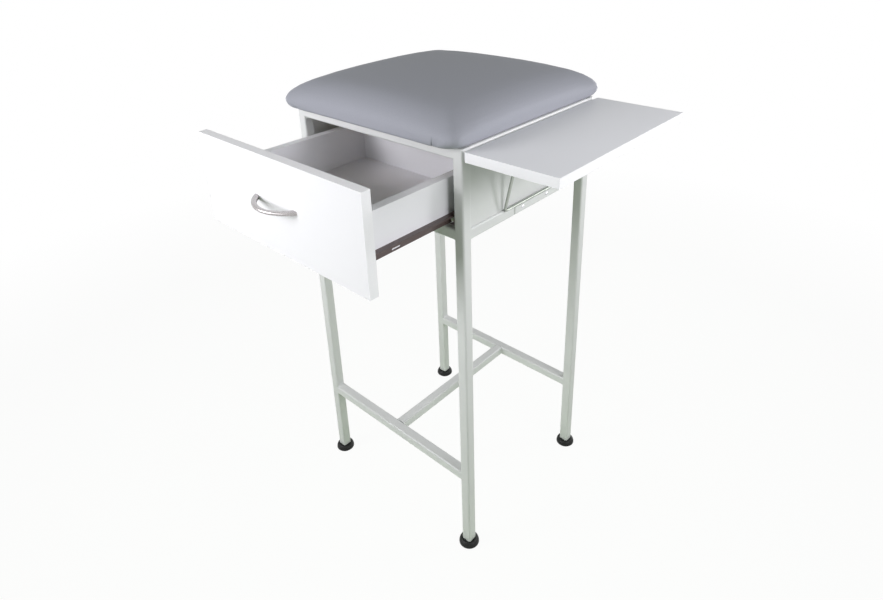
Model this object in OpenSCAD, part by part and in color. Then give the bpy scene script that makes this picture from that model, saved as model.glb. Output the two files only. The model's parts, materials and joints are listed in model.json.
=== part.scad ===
// Small wheelless clinic table: welded square-tube frame, padded top,
// a drawer on roller slides and a side leaf that folds down.
// X runs along the drawer front, the drawer opens towards -Y, +Z is up.

/* [Frame] */
// Width of the welded frame, across the front
frame_w = 410; // [380:1:480]
// Depth of the welded frame, front to back
frame_d = 374; // [350:1:440]
// Height of the frame's top above the floor
frame_h = 845; // [700:1:950]
// Side of the square tube
tube = 20; // [18:1:22]
// Wall of the square tube
tube_wall = 1.5; // [1.2:0.1:2]
// Outside corner radius of the square tube
tube_r = 3.5; // [2.5:0.1:4]
// Height of the case, from the lower ring's underside to the frame's top
case_h = 157; // [150:1:200]
// Height of the stretchers' top above the floor
stretcher_h = 190; // [120:1:300]
// Size of a weld fillet
weld = 6; // [3:0.5:8]
// Thickness of the sheet panels
panel_t = 1.5; // [1:0.1:2]
// How far a panel sits inside the tubes' outer faces
panel_inset = 4; // [4:0.5:6]

/* [Feet] */
// Diameter of a foot
foot_d = 40; // [34:1:46]
// Height of a foot below the leg
foot_h = 14; // [10:1:20]
// Length of the plug that goes up inside the leg
plug_len = 18; // [10:1:25]

/* [Cushion] */
// How far the cushion reaches past the frame on each side
cushion_side_past = 10; // [2:1:15]
// How far the cushion reaches past the frame in front and behind
cushion_end_past = 26; // [10:1:30]
// How far the cushion's middle lies from the frame's middle, along X
cushion_shift = -5; // [-8:1:8]
// Height of the cushion's rounded shoulder at the middle of a side
cushion_side_h = 54; // [35:1:60]
// Extra height at the middle of the crown
cushion_crown = 11; // [6:1:30]
// Height at which the sides are widest
bulge_h = 14; // [8:1:18]
// How far the sides tuck in at the bottom
cushion_tuck = 14; // [6:1:16]
// Width over which the top rounds down to the side
cushion_round = 60; // [50:1:100]
// Corner radius of the cushion in plan, where it is widest
cushion_corner = 22; // [16:1:40]
// Corner radius of the cushion in plan, at the bottom
cushion_low_corner = 45; // [40:1:60]
// How far each side is drawn in at its middle
cushion_draw = 3; // [0:0.5:6]
// Thickness of the board inside the cushion
base_t = 12; // [9:1:15]

/* [Drawer] */
// How far the drawer front reaches past the frame on each side
front_past = 2; // [1:0.5:4]
// Height of the drawer front
front_h = 162; // [140:1:200]
// Thickness of the drawer front
front_t = 16; // [12:1:20]
// Gap between the drawer front's top and the cushion
front_top_gap = 1; // [0.5:0.1:3]
// Thickness of the drawer's side and back boards
board_t = 16; // [12:1:18]
// Room between the closed drawer box and the back rail
box_room = 41; // [20:1:60]
// Height of the drawer box
box_h = 76; // [60:1:85]
// Thickness of the drawer bottom
bottom_t = 3; // [3:0.5:6]
// How far the drawer stands open
drawer_open = 182; // [120:1:210]
// Thickness of the edge banding
edging_t = 0.8; // [0.4:0.1:2]

/* [Handle] */
// Length of the bow handle
handle_len = 112; // [100:1:140]
// How far the handle stands out from the drawer front
handle_reach = 30; // [24:1:34]
// Depth of the bow at its middle
handle_bar = 8; // [5:0.5:9]
// Distance between the handle's two screws
handle_span = 96; // [84:1:100]
// Height of the bow at its middle
handle_mid_h = 6; // [5:0.5:7]
// Height of the bow at its ends
handle_end_h = 8; // [7:1:10]
// Height of the handle above the front's middle
handle_rise = 6; // [0:1:20]

/* [Slides] */
// Gap between the drawer box and the leg, for the slide
slide_gap = 12.7; // [12.5:0.1:13.5]
// How much shorter a slide member is than the drawer box
slide_short = 13; // [8:1:30]
// Sheet thickness of a slide member
slide_t = 1.2; // [1:0.1:1.4]
// Height of the drawer member
drawer_rail_h = 16; // [15:0.5:18]
// Height of the case slide above the lower ring
slide_lift = 5; // [3:0.5:8]
// Diameter of a slide roller
roller_d = 14.5; // [12:0.1:15]
// Width of a slide roller
roller_w = 5.5; // [4:0.1:6]
// Diameter of the pin that a roller turns on
roller_pin_d = 4; // [3:0.1:5]

/* [Leaf] */
// Width of the leaf, out from the frame
leaf_w = 165; // [145:1:180]
// How much longer the leaf is than the frame's side
leaf_past = 8; // [0:1:20]
// Thickness of the leaf
leaf_t = 16; // [14:1:22]
// Gap between the frame and the leaf
leaf_gap = 5.3; // [5:0.1:7]
// How far the leaf's top lies below the frame's top
leaf_drop = 2.7; // [1:0.1:4]

/* [Hinges] */
// Length of a hinge
hinge_len = 50; // [40:1:60]
// Thickness of a hinge plate
hinge_t = 1.5; // [1.2:0.1:2]
// Outside diameter of a hinge knuckle
knuckle_d = 6; // [5.5:0.1:7]
// Diameter of a hinge pin
pin_d = 3; // [2.5:0.1:3.5]
// Width of the hinge plate under the leaf
hinge_reach = 26; // [20:1:32]
// Distance of a hinge's middle from the end of the leaf
hinge_inset = 51; // [40:1:60]

/* [Stay] */
// Diameter of the stay's rod
rod_d = 5; // [4:0.1:5.5]
// Room between a hinge and the saddle next to it
stay_room = 11; // [4:1:30]
// Distance of the stay's pivot from the hinge axis
pivot_out = 25; // [22:1:40]
// Radius of the rod's bends, on its middle line
bend_r = 7; // [5:0.5:10]
// Length of the rod's end beyond each arm
stub_len = 18; // [15:1:24]
// Angle at which the foot bar bears on the rail's shoulder
bear_angle = 32; // [28:1:36]
// Length of the rubbing strip on the lower rail
strip_len = 116; // [80:1:140]
// Height of the rubbing strip
strip_h = 12; // [8:0.5:12]
// Thickness of the rubbing strip
strip_t = 1.5; // [1:0.1:1.5]

/* [Screws] */
// Diameter of the small wood and sheet screws
screw_d = 3.5; // [3:0.1:4]
// Diameter of their heads
head_d = 6.5; // [6:0.1:7]
// Thickness of their heads
head_t = 1.2; // [1:0.1:1.4]

/* [Hidden] */
$fn = 48;

// Overrun of every cut past the face it starts from
over = 1;
// Gap between pieces that pass each other
run_gap = 0.3;
// Radial clearance of a shaft in its bore
fit = 0.05;
// Radial clearance of a screw in its hole
screw_fit = 0.1;
// Clearance of the foot plug inside the leg, on each side
plug_fit = 0.2;

// Colours, as the photograph shows them
paint = [0.87, 0.88, 0.87];
vinyl = [0.47, 0.49, 0.52];
laminate = [0.92, 0.92, 0.93];
grey_top = [0.78, 0.79, 0.82];
bronze = [0.26, 0.20, 0.19];
nylon = [0.93, 0.93, 0.90];
zinc = [0.72, 0.73, 0.74];
nickel = [0.70, 0.68, 0.65];
black = [0.09, 0.09, 0.10];
wood = [0.72, 0.60, 0.44];

// Frame
leg_x = (frame_w - tube) / 2;
leg_y = (frame_d - tube) / 2;
inner_x = frame_w / 2 - tube;
inner_y = frame_d / 2 - tube;
tube_in = tube - 2 * tube_wall;
tube_in_r = max(tube_r - tube_wall, tube_wall / 2);
flat_w = tube - 2 * tube_r;
top_z = frame_h - tube / 2;
low_z = frame_h - case_h + tube / 2;
low_top = frame_h - case_h + tube;
stretcher_z = stretcher_h - tube / 2;
tab_side = 28;
tab_t = 3;
tab_hole_share = 0.5;

// Foot: outline radii and heights, as shares of the foot's own sizes
foot_flat_share = 0.86;
foot_rim_share = 0.22;
foot_neck_share = 0.66;
dome_step = 15;

// Cushion
cushion_w = frame_w + 2 * cushion_side_past;
cushion_d = frame_d + 2 * cushion_end_past;
cushion_z = frame_h;
base_tuck_share = 1.3;
base_inset = cushion_tuck * base_tuck_share;
base_w = cushion_w - 2 * base_inset;
base_d = cushion_d - 2 * base_inset;
corner_steps = 6;
side_steps = 5;
tuck_steps = 3;
shoulder_steps = 5;
crown_steps = 4;
corner_drop_share = 0.46;
corner_drop_power = 3;
least_corner_share = 1 / 3;

// Drawer, in the pose in which it stands open
front_w = frame_w + 2 * front_past;
box_len = frame_d - tube - box_room;
front_back_y = -frame_d / 2 - drawer_open;
front_z = frame_h - front_top_gap - front_h;
box_x = inner_x - slide_gap;
slide_z = low_top + slide_lift;
track_z = slide_z + slide_t + run_gap + roller_d + run_gap;
box_z = track_z + slide_t - drawer_rail_h + slide_t;
box_y1 = front_back_y + box_len;
rail_setback = 2;

// Slide, seen from the front on the right-hand side
slide_len = box_len - slide_short;
rail_gap = 0.8;
web_x = inner_x - slide_t;
roller_x0 = box_x + slide_t + 2 * rail_gap;
roller_z = slide_z + slide_t + run_gap + roller_d / 2;
roller_end = 9;
rivet_d = 6.5;
rivet_t = 0.6;
lip_h = 3;
lip_x = roller_x0 + roller_w + rail_gap;
guard_gap = 1;
slide_top = track_z + slide_t + guard_gap;
case_slide_h = slide_top + slide_t - slide_z;
case_slide_y0 = -frame_d / 2 + rail_setback;
slide_bar_t = 3;
bottom_flange = 14;
screw_place_shares = [0.25, 0.75];
slide_screw_len = 7;
rail_screw_len = 14;
rail_slot_len = 18;
rail_slot_h = 3;
rail_slot_share = 0.22;

// Handle
handle_y = front_back_y - front_t;
handle_z = front_z + front_h / 2 + handle_rise;
handle_foot_in = 5;
handle_inner_len = handle_span - 2 * handle_foot_in;
handle_screw_d = 4;
handle_head_d = 8;
handle_head_t = 2;
handle_screw_grip = 4.5;

// Leaf and its hinges
leaf_len = frame_d + leaf_past;
leaf_x0 = frame_w / 2 + leaf_gap;
leaf_y0 = -frame_d / 2;
leaf_mid_y = leaf_y0 + leaf_len / 2;
leaf_z0 = frame_h - leaf_drop - leaf_t;
knuckle_bite = 0.5;
hinge_x = frame_w / 2 + hinge_t + knuckle_d / 2 - knuckle_bite;
hinge_z = leaf_z0 - hinge_t - knuckle_d / 2;
hinge_ys = [leaf_mid_y - leaf_len / 2 + hinge_inset, leaf_mid_y + leaf_len / 2 - hinge_inset];
knuckle_share = 1 / 3;
fixed_plate_top = frame_h - leaf_drop - tube_r;
hinge_screw_share = 0.3;
hinge_screw_len = 9;
leaf_screw_len = 12;

// Stay
rod_r = rod_d / 2;
pivot_x = hinge_x + pivot_out;
pivot_z = leaf_z0 - rod_r - run_gap;
bear = tube_r + rod_r + run_gap;
foot_x = frame_w / 2 - tube_r + bear * cos(bear_angle);
foot_z = low_top - tube_r + bear * sin(bear_angle);
arm_len = norm([pivot_x - foot_x, pivot_z - foot_z]);
arm_tilt = atan2(pivot_x - foot_x, pivot_z - foot_z);
saddle_w = 8;
saddle_t = 1.2;
saddle_ear = 9;
saddle_gap = 1;
stay_w = leaf_len - 2 * (hinge_inset + hinge_len / 2 + stay_room + saddle_w + saddle_gap + bend_r);
strip_z = low_z;
strip_screw_share = 0.31;
strip_screw_len = 6;

// Middle of the whole table's outline in plan
left_x = min(cushion_shift - cushion_w / 2, -front_w / 2);
right_x = leaf_x0 + leaf_w;
near_y = handle_y - handle_reach;
far_y = max(cushion_d / 2, leaf_y0 + leaf_len);
middle_x = (left_x + right_x) / 2;
middle_y = (near_y + far_y) / 2;

echo(arm_tilt = arm_tilt, arm_len = arm_len, stay_ratio = -(1 + arm_tilt / 90));
echo(middle = [middle_x, middle_y], hinge = [hinge_x, hinge_z], pivot = [pivot_x, pivot_z]);
echo(roller_z = roller_z, box_z = box_z, box_x = box_x, foot = [foot_x, foot_z]);

// Puts the table's middle, in plan, over the origin
module placed() {
    translate([-middle_x, -middle_y, 0]) children();
}

// Mirrors a right-hand piece to the side that sx names
module on_side(sx) {
    if (sx > 0) children();
    else mirror([1, 0, 0]) children();
}

// Shared shapes

// Square with true round corners
module rounded_square(size, r) {
    flat = size - 2 * r;
    square([flat, size], center = true);
    square([size, flat], center = true);
    for (sx = [-1, 1], sy = [-1, 1])
        translate([sx * flat / 2, sy * flat / 2]) circle(r);
}

module tube_outline() {
    difference() {
        rounded_square(tube, tube_r);
        rounded_square(tube_in, tube_in_r);
    }
}

module tube_along_x(length) {
    rotate([0, 90, 0]) linear_extrude(length, center = true) tube_outline();
}

module tube_along_y(length) {
    rotate([90, 0, 0]) linear_extrude(length, center = true) tube_outline();
}

// Screw along -Z, its head's underside at the origin and the head above
module screw(d, length, screw_head_d, screw_head_t) {
    translate([0, 0, -length]) cylinder(d = d, h = length);
    cylinder(d = screw_head_d, h = screw_head_t);
}

module small_screw(length) {
    screw(screw_d, length, head_d, head_t);
}

// Hole for a small screw, along -Z from the origin
module screw_hole(length) {
    translate([0, 0, -length]) cylinder(d = screw_d + 2 * screw_fit, h = length + over);
}

// Frame

// Leg: open below for the foot's plug, closed on top
module leg(sx, sy) {
    placed() color(paint) translate([sx * leg_x, sy * leg_y, foot_h]) difference() {
        linear_extrude(frame_h - foot_h) rounded_square(tube, tube_r);
        translate([0, 0, -over]) linear_extrude(frame_h - foot_h - tube_wall + over)
            rounded_square(tube_in, tube_in_r);
    }
}
module leg_front_left() { leg(-1, -1); }
module leg_front_right() { leg(1, -1); }
module leg_back_left() { leg(-1, 1); }
module leg_back_right() { leg(1, 1); }

// Rail along X between two legs
module rail_x(sy, z) {
    placed() color(paint) translate([0, sy * leg_y, z]) tube_along_x(2 * inner_x);
}

// Rail along Y between two legs
module rail_y(sx, z) {
    translate([sx * leg_x, 0, z]) tube_along_y(2 * inner_y);
}

module top_rail_front() { rail_x(-1, top_z); }
module top_rail_back() { rail_x(1, top_z); }
module top_rail_left() { placed() color(paint) rail_y(-1, top_z); }
module top_rail_right() {
    placed() color(paint) difference() {
        rail_y(1, top_z);
        hinge_rail_places() screw_hole(hinge_screw_len + over);
    }
}
module low_rail_front() { rail_x(-1, low_z); }
module low_rail_back() { rail_x(1, low_z); }
module low_rail_left() { placed() color(paint) rail_y(-1, low_z); }
module low_rail_right() {
    placed() color(paint) difference() {
        rail_y(1, low_z);
        strip_places() screw_hole(strip_screw_len + over);
    }
}
module stretcher_front() { rail_x(-1, stretcher_z); }
module stretcher_back() { rail_x(1, stretcher_z); }
module stretcher_cross() {
    placed() color(paint) translate([0, 0, stretcher_z]) tube_along_y(2 * inner_y);
}

// Hollow-faced weld under a rail that ends on a leg: the leg's face is x = 0
module weld_bead() {
    rotate([90, 0, 0]) linear_extrude(flat_w, center = true) difference() {
        translate([0, -weld]) square(weld);
        translate([weld, -weld]) circle(weld);
    }
}

// Welds at both ends of a rail along X, under it or above it
module welds_x(sy, z, up) {
    for (sx = [-1, 1])
        translate([sx * inner_x, sy * leg_y, z]) mirror([0, 0, up])
            rotate([0, 0, sx > 0 ? 180 : 0]) weld_bead();
}

// Welds at both ends of a rail along Y, under it
module welds_y(sx, z) {
    for (sy = [-1, 1])
        translate([sx * leg_x, sy * inner_y, z]) rotate([0, 0, -sy * 90]) weld_bead();
}

module weld_fillets() {
    placed() color(paint) {
        welds_x(-1, frame_h - tube, 0);
        for (s = [-1, 1]) {
            welds_x(s, frame_h - case_h, 0);
            welds_y(s, frame_h - case_h);
            welds_x(s, stretcher_h - tube, 0);
            welds_x(s, stretcher_h, 1);
        }
    }
}

// Foot: a domed disc with a square plug that goes up inside the leg
module foot(sx, sy) {
    r = foot_d / 2;
    neck = tube * foot_neck_share;
    rim_z = foot_h * foot_rim_share;
    placed() color(black) translate([sx * leg_x, sy * leg_y, 0]) {
        rotate_extrude() polygon(concat([[0, 0], [r * foot_flat_share, 0]],
            [for (a = [0:dome_step:90]) [neck + (r - neck) * cos(a), rim_z + (foot_h - rim_z) * sin(a)]],
            [[0, foot_h]]));
        translate([0, 0, foot_h - over]) linear_extrude(plug_len + over)
            rounded_square(tube_in - 2 * plug_fit, tube_in_r);
    }
}
module foot_front_left() { foot(-1, -1); }
module foot_front_right() { foot(1, -1); }
module foot_back_left() { foot(-1, 1); }
module foot_back_right() { foot(1, 1); }

// Sheet panels, seated between the tubes
module side_panel(sx) {
    placed() color(paint)
        translate([sx * (frame_w / 2 - panel_inset - panel_t / 2), 0, (low_top + frame_h - tube) / 2])
            cube([panel_t, 2 * inner_y, frame_h - tube - low_top], center = true);
}
module side_panel_left() { side_panel(-1); }
module side_panel_right() { side_panel(1); }
module back_panel() {
    placed() color(paint)
        translate([0, frame_d / 2 - panel_inset - panel_t / 2, (low_top + frame_h - tube) / 2])
            cube([2 * inner_x, panel_t, frame_h - tube - low_top], center = true);
}

// Middles of the four screw holes that hold the cushion down
module cushion_screw_places() {
    for (sx = [-1, 1], sy = [-1, 1])
        translate([sx * (inner_x - tab_side * tab_hole_share),
            sy * (inner_y - tab_side * tab_hole_share), frame_h - tab_t])
            rotate([180, 0, 0]) children();
}

module corner_tabs() {
    placed() color(paint) difference() {
        for (sx = [-1, 1], sy = [-1, 1])
            translate([sx * (inner_x - tab_side / 2), sy * (inner_y - tab_side / 2), frame_h - tab_t / 2])
                cube([tab_side, tab_side, tab_t], center = true);
        cushion_screw_places() screw_hole(tab_t + over);
    }
}

// Cushion

// Board with round corners that follow the cushion's
module cushion_base_block() {
    r = cushion_low_corner - (base_inset - cushion_tuck);
    translate([cushion_shift, 0, cushion_z]) linear_extrude(base_t) {
        square([base_w - 2 * r, base_d], center = true);
        square([base_w, base_d - 2 * r], center = true);
        for (sx = [-1, 1], sy = [-1, 1])
            translate([sx * (base_w / 2 - r), sy * (base_d / 2 - r)]) circle(r);
    }
}

module cushion_base() {
    placed() color(wood) difference() {
        cushion_base_block();
        cushion_screw_places() screw_hole(tab_t + base_t - 2 * screw_fit);
    }
}

module cushion_screws() {
    placed() color(zinc) cushion_screw_places() small_screw(tab_t + base_t * 2 / 3);
}

// Plan outline of the cushion: four arcs with points along each side
function corner_sign(k) = [[1, 1], [-1, 1], [-1, -1], [1, -1]][k % 4];
function arc_point(k, i, hx, hy, r) = let (a = 90 * (k % 4) + 90 * i / corner_steps)
    [corner_sign(k).x * (hx - r) + r * cos(a), corner_sign(k).y * (hy - r) + r * sin(a)];
function side_point(k, i, hx, hy, r) = let (
    a = arc_point(k, corner_steps, hx, hy, r),
    b = arc_point(k + 1, 0, hx, hy, r))
    a + (b - a) * i / (side_steps + 1);
function outline(hx, hy, r) = [for (k = [0:3]) each concat(
    [for (i = [0:corner_steps]) arc_point(k, i, hx, hy, r)],
    [for (i = [1:side_steps]) side_point(k, i, hx, hy, r)])];

// How far a point of the outline is drawn in, most at the middle of a side
function drawn(p, hx, hy, r) = [
    p.x - sign(p.x) * (abs(p.y) < hy - r ? cushion_draw * (1 - pow(p.y / (hy - r), 2)) : 0),
    p.y - sign(p.y) * (abs(p.x) < hx - r ? cushion_draw * (1 - pow(p.x / (hx - r), 2)) : 0)];

// Height of the shoulder above the bulge, lowest at the corners
function shoulder_at(p) = (cushion_side_h - bulge_h) * (1 - corner_drop_share
    * pow(abs(2 * p.x / cushion_w), corner_drop_power) * pow(abs(2 * p.y / cushion_d), corner_drop_power));
function crown_at(p) = cushion_crown * (1 - pow(2 * p.x / cushion_w, 2)) * (1 - pow(2 * p.y / cushion_d, 2));

// One ring: its inset from the widest outline, corner radius, height, share of the top's height, scale
function cushion_ring(inset, r, z, rise, scaled) = let (
    hx = cushion_w / 2 - inset,
    hy = cushion_d / 2 - inset)
    [for (p = outline(hx, hy, r)) let (q = drawn(p, hx, hy, r) * scaled)
        [q.x, q.y, z + rise * (shoulder_at(q) + crown_at(q))]];

cushion_rings = concat(
    [for (i = [0:tuck_steps - 1]) let (a = 90 * i / tuck_steps)
        cushion_ring(cushion_tuck * (1 - sin(a)),
            cushion_corner + (cushion_low_corner - cushion_corner) * (1 - sin(a)),
            bulge_h * (1 - cos(a)), 0, 1)],
    [for (i = [0:shoulder_steps]) let (a = 90 * i / shoulder_steps, inset = cushion_round * (1 - cos(a)))
        cushion_ring(inset, max(cushion_corner - inset, cushion_corner * least_corner_share),
            bulge_h, sin(a), 1)],
    [for (i = [1:crown_steps - 1])
        cushion_ring(cushion_round, cushion_corner * least_corner_share, bulge_h, 1, 1 - i / crown_steps)]);

module cushion_form() {
    count = len(cushion_rings[0]);
    rows = len(cushion_rings);
    points = concat([for (ring = cushion_rings) each ring], [[0, 0, cushion_side_h + cushion_crown]]);
    sides = [for (j = [0:rows - 2], i = [0:count - 1]) let (
        a = j * count + i, b = j * count + (i + 1) % count)
        each [[a, a + count, b], [b, a + count, b + count]]];
    bottom = [[for (i = [0:count - 1]) i]];
    top = [for (i = [0:count - 1])
        [(rows - 1) * count + i, rows * count, (rows - 1) * count + (i + 1) % count]];
    polyhedron(points, concat(sides, bottom, top), convexity = 4);
}

module cushion() {
    placed() color(vinyl) difference() {
        translate([cushion_shift, 0, cushion_z]) cushion_form();
        cushion_base_block();
        translate([0, 0, -over]) cushion_base_block();
    }
}

// Slides

// Flat bar welded between the legs, which the case slide is screwed to
module slide_bar(sx) {
    placed() color(paint) on_side(sx) difference() {
        translate([inner_x, -inner_y, slide_z]) cube([slide_bar_t, 2 * inner_y, case_slide_h]);
        case_slide_places() screw_hole(slide_screw_len + over);
    }
}
module slide_bar_left() { slide_bar(-1); }
module slide_bar_right() { slide_bar(1); }

// Middles of the screws that hold the right-hand case slide, heads towards the drawer
module case_slide_places() {
    for (s = screw_place_shares)
        translate([web_x, case_slide_y0 + slide_len * s, roller_z]) rotate([0, -90, 0]) children();
}

// Pin riveted into a slide member, along +X from the sheet's far face, its head past the roller
module roller_pin(length) {
    rotate([0, 90, 0]) {
        cylinder(d = roller_pin_d, h = length);
        translate([0, 0, length - rivet_t]) cylinder(d = rivet_d, h = rivet_t);
    }
}

module case_slide_profile() {
    translate([web_x, slide_z]) square([slide_t, case_slide_h]);
    translate([roller_x0, slide_z]) square([inner_x - roller_x0, slide_t]);
    translate([roller_x0, slide_top]) square([inner_x - roller_x0, slide_t]);
}

module case_slide(sx) {
    pin_len = inner_x - roller_x0 + run_gap + rivet_t;
    placed() color(bronze) on_side(sx) {
        difference() {
            translate([0, case_slide_y0, 0]) rotate([90, 0, 0]) mirror([0, 0, 1])
                linear_extrude(slide_len) case_slide_profile();
            case_slide_places() screw_hole(slide_t + over);
        }
        translate([inner_x, case_slide_y0 + roller_end, roller_z]) rotate([0, 0, 180])
            roller_pin(pin_len);
    }
}
module case_slide_left() { case_slide(-1); }
module case_slide_right() { case_slide(1); }

module case_slide_screws() {
    placed() color(zinc) for (sx = [-1, 1])
        on_side(sx) case_slide_places() small_screw(slide_screw_len);
}

// Nylon roller with a dished face and a bore that runs on its pin
module roller(sx, y) {
    dish_d = roller_d * 0.72;
    hub_d = rivet_d + rivet_t;
    dish = roller_w / 6;
    placed() color(nylon) on_side(sx) translate([roller_x0, y, roller_z]) rotate([0, 90, 0])
        difference() {
            cylinder(d = roller_d, h = roller_w);
            translate([0, 0, -over]) cylinder(d = roller_pin_d + 2 * fit, h = roller_w + 2 * over);
            for (z = [-over, roller_w - dish]) translate([0, 0, z]) difference() {
                cylinder(d = dish_d, h = dish + over);
                cylinder(d = hub_d, h = dish + over);
            }
        }
}
module case_roller_left() { roller(-1, case_slide_y0 + roller_end); }
module case_roller_right() { roller(1, case_slide_y0 + roller_end); }

rail_y1 = front_back_y + rail_setback + slide_len;
module drawer_roller_left() { roller(-1, rail_y1 - roller_end); }
module drawer_roller_right() { roller(1, rail_y1 - roller_end); }

// Drawer member: a flange up the box's side, one under it, and the track with its lip
module drawer_rail_profile() {
    rail_z = box_z - slide_t;
    translate([box_x, rail_z]) square([slide_t, drawer_rail_h]);
    translate([box_x - bottom_flange, rail_z]) square([bottom_flange + slide_t, slide_t]);
    translate([box_x, track_z]) square([lip_x + slide_t - box_x, slide_t]);
    translate([lip_x, track_z + slide_t - lip_h]) square([slide_t, lip_h]);
}

// Middles of the screws under the right-hand drawer member, heads below
module drawer_rail_places() {
    for (s = screw_place_shares)
        translate([box_x - bottom_flange / 2, front_back_y + rail_setback + slide_len * s, box_z - slide_t])
            rotate([180, 0, 0]) children();
}

// Long slot through the side flange of the right-hand drawer member
module rail_slot() {
    half = (rail_slot_len - rail_slot_h) / 2;
    translate([box_x - over, front_back_y + rail_setback + slide_len * rail_slot_share, box_z + rail_slot_h])
        rotate([0, 90, 0]) linear_extrude(slide_t + 2 * over) {
            square([rail_slot_h, 2 * half], center = true);
            for (side = [-1, 1]) translate([0, side * half]) circle(d = rail_slot_h);
        }
}

module drawer_rail(sx) {
    pin_len = roller_x0 + roller_w + run_gap + rivet_t - box_x;
    placed() color(bronze) on_side(sx) {
        difference() {
            translate([0, front_back_y + rail_setback, 0]) rotate([90, 0, 0]) mirror([0, 0, 1])
                linear_extrude(slide_len) drawer_rail_profile();
            drawer_rail_places() screw_hole(slide_t + over);
            rail_slot();
        }
        translate([box_x, rail_y1 - roller_end, roller_z]) roller_pin(pin_len);
    }
}
module drawer_rail_left() { drawer_rail(-1); }
module drawer_rail_right() { drawer_rail(1); }

module drawer_rail_screws() {
    placed() color(zinc) for (sx = [-1, 1])
        on_side(sx) drawer_rail_places() small_screw(rail_screw_len);
}

// Drawer

// Places of the handle's two screws, on the back of the drawer front
module handle_places() {
    for (sx = [-1, 1])
        translate([sx * handle_span / 2, front_back_y, handle_z]) rotate([-90, 0, 0]) children();
}

module drawer_front_block(trim) {
    translate([-front_w / 2 + trim, handle_y, front_z + trim])
        cube([front_w - 2 * trim, front_t, front_h - 2 * trim]);
}

module drawer_front() {
    placed() color(laminate) difference() {
        drawer_front_block(edging_t);
        handle_places() translate([0, 0, -front_t - over])
            cylinder(d = handle_screw_d + 2 * screw_fit, h = front_t + 2 * over);
    }
}

module drawer_front_edging() {
    placed() color(laminate) difference() {
        drawer_front_block(0);
        translate([-front_w / 2 + edging_t, handle_y - over, front_z + edging_t])
            cube([front_w - 2 * edging_t, front_t + 2 * over, front_h - 2 * edging_t]);
    }
}

module drawer_side(sx) {
    placed() color(laminate) on_side(sx) difference() {
        translate([box_x - board_t, front_back_y, box_z + bottom_t])
            cube([board_t, box_len, box_h - bottom_t]);
        drawer_rail_places() screw_hole(rail_screw_len + over);
    }
}
module drawer_side_left() { drawer_side(-1); }
module drawer_side_right() { drawer_side(1); }

module drawer_back() {
    placed() color(laminate)
        translate([-box_x + board_t, box_y1 - board_t, box_z + bottom_t])
            cube([2 * (box_x - board_t), board_t, box_h - bottom_t]);
}

module drawer_bottom() {
    placed() color(laminate) difference() {
        translate([-box_x, front_back_y, box_z]) cube([2 * box_x, box_len, bottom_t]);
        for (sx = [-1, 1]) on_side(sx) drawer_rail_places() screw_hole(rail_screw_len);
    }
}

// Radius of the arc that spans a length and rises by a reach
function bow_r(length, reach) = length * length / (8 * reach) + reach / 2;

// Bow handle: a crescent in plan that is slimmest in height at its middle
module handle() {
    outer_r = bow_r(handle_len, handle_reach);
    inner_reach = handle_reach - handle_bar;
    inner_r = bow_r(handle_inner_len, inner_reach);
    waist_r = bow_r(handle_span, (handle_end_h - handle_mid_h) / 2);
    placed() color(nickel) translate([0, handle_y, handle_z]) difference() {
        intersection() {
            linear_extrude(handle_end_h, center = true, $fn = 96) mirror([0, 1]) difference() {
                intersection() {
                    translate([0, handle_reach - outer_r]) circle(outer_r);
                    translate([-handle_len / 2, 0]) square([handle_len, handle_reach]);
                }
                translate([0, inner_reach - inner_r]) circle(inner_r);
            }
            rotate([90, 0, 0]) linear_extrude(handle_reach + over, $fn = 1440) difference() {
                square([handle_len + 2 * over, handle_end_h + 2 * over], center = true);
                for (side = [-1, 1])
                    translate([0, side * (handle_mid_h / 2 + waist_r)]) circle(waist_r);
            }
        }
        for (sx = [-1, 1]) translate([sx * handle_span / 2, over, 0]) rotate([90, 0, 0])
            cylinder(d = handle_screw_d + 2 * screw_fit, h = handle_screw_grip + 2 * over);
    }
}

module handle_screws() {
    placed() color(zinc) handle_places()
        screw(handle_screw_d, front_t + handle_screw_grip, handle_head_d, handle_head_t);
}

// Leaf

module leaf_block(trim) {
    translate([leaf_x0 + trim, leaf_y0 + trim, leaf_z0])
        cube([leaf_w - 2 * trim, leaf_len - 2 * trim, leaf_t]);
}

module leaf_board() {
    placed() color(grey_top) difference() {
        leaf_block(edging_t);
        hinge_leaf_places() screw_hole(leaf_screw_len + over);
        saddle_places() screw_hole(leaf_screw_len + over);
    }
}

module leaf_edging() {
    placed() color(laminate) difference() {
        leaf_block(0);
        translate([leaf_x0 + edging_t, leaf_y0 + edging_t, leaf_z0 - over])
            cube([leaf_w - 2 * edging_t, leaf_len - 2 * edging_t, leaf_t + 2 * over]);
    }
}

// Hinges: the fixed plate has the two outer knuckles, the moving plate the middle one
knuckle_len = hinge_len * knuckle_share;

module knuckle(y0, length) {
    translate([hinge_x, y0 + length, hinge_z]) rotate([90, 0, 0]) cylinder(d = knuckle_d, h = length);
}

module pin_bore(y) {
    translate([hinge_x, y + hinge_len / 2 + over, hinge_z]) rotate([90, 0, 0])
        cylinder(d = pin_d + 2 * fit, h = hinge_len + 2 * over);
}

module hinge_fixed_plates() {
    plate_z = hinge_z + knuckle_d / 2 + run_gap;
    end_len = knuckle_len - run_gap;
    placed() color(zinc) for (y = hinge_ys) difference() {
        union() {
            translate([frame_w / 2, y - hinge_len / 2, plate_z])
                cube([hinge_t, hinge_len, fixed_plate_top - plate_z]);
            for (y0 = [y - hinge_len / 2, y + hinge_len / 2 - end_len]) {
                knuckle(y0, end_len);
                translate([frame_w / 2, y0, hinge_z]) cube([hinge_t, end_len, plate_z - hinge_z]);
            }
        }
        pin_bore(y);
        hinge_rail_places() screw_hole(hinge_t + over);
    }
}

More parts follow.
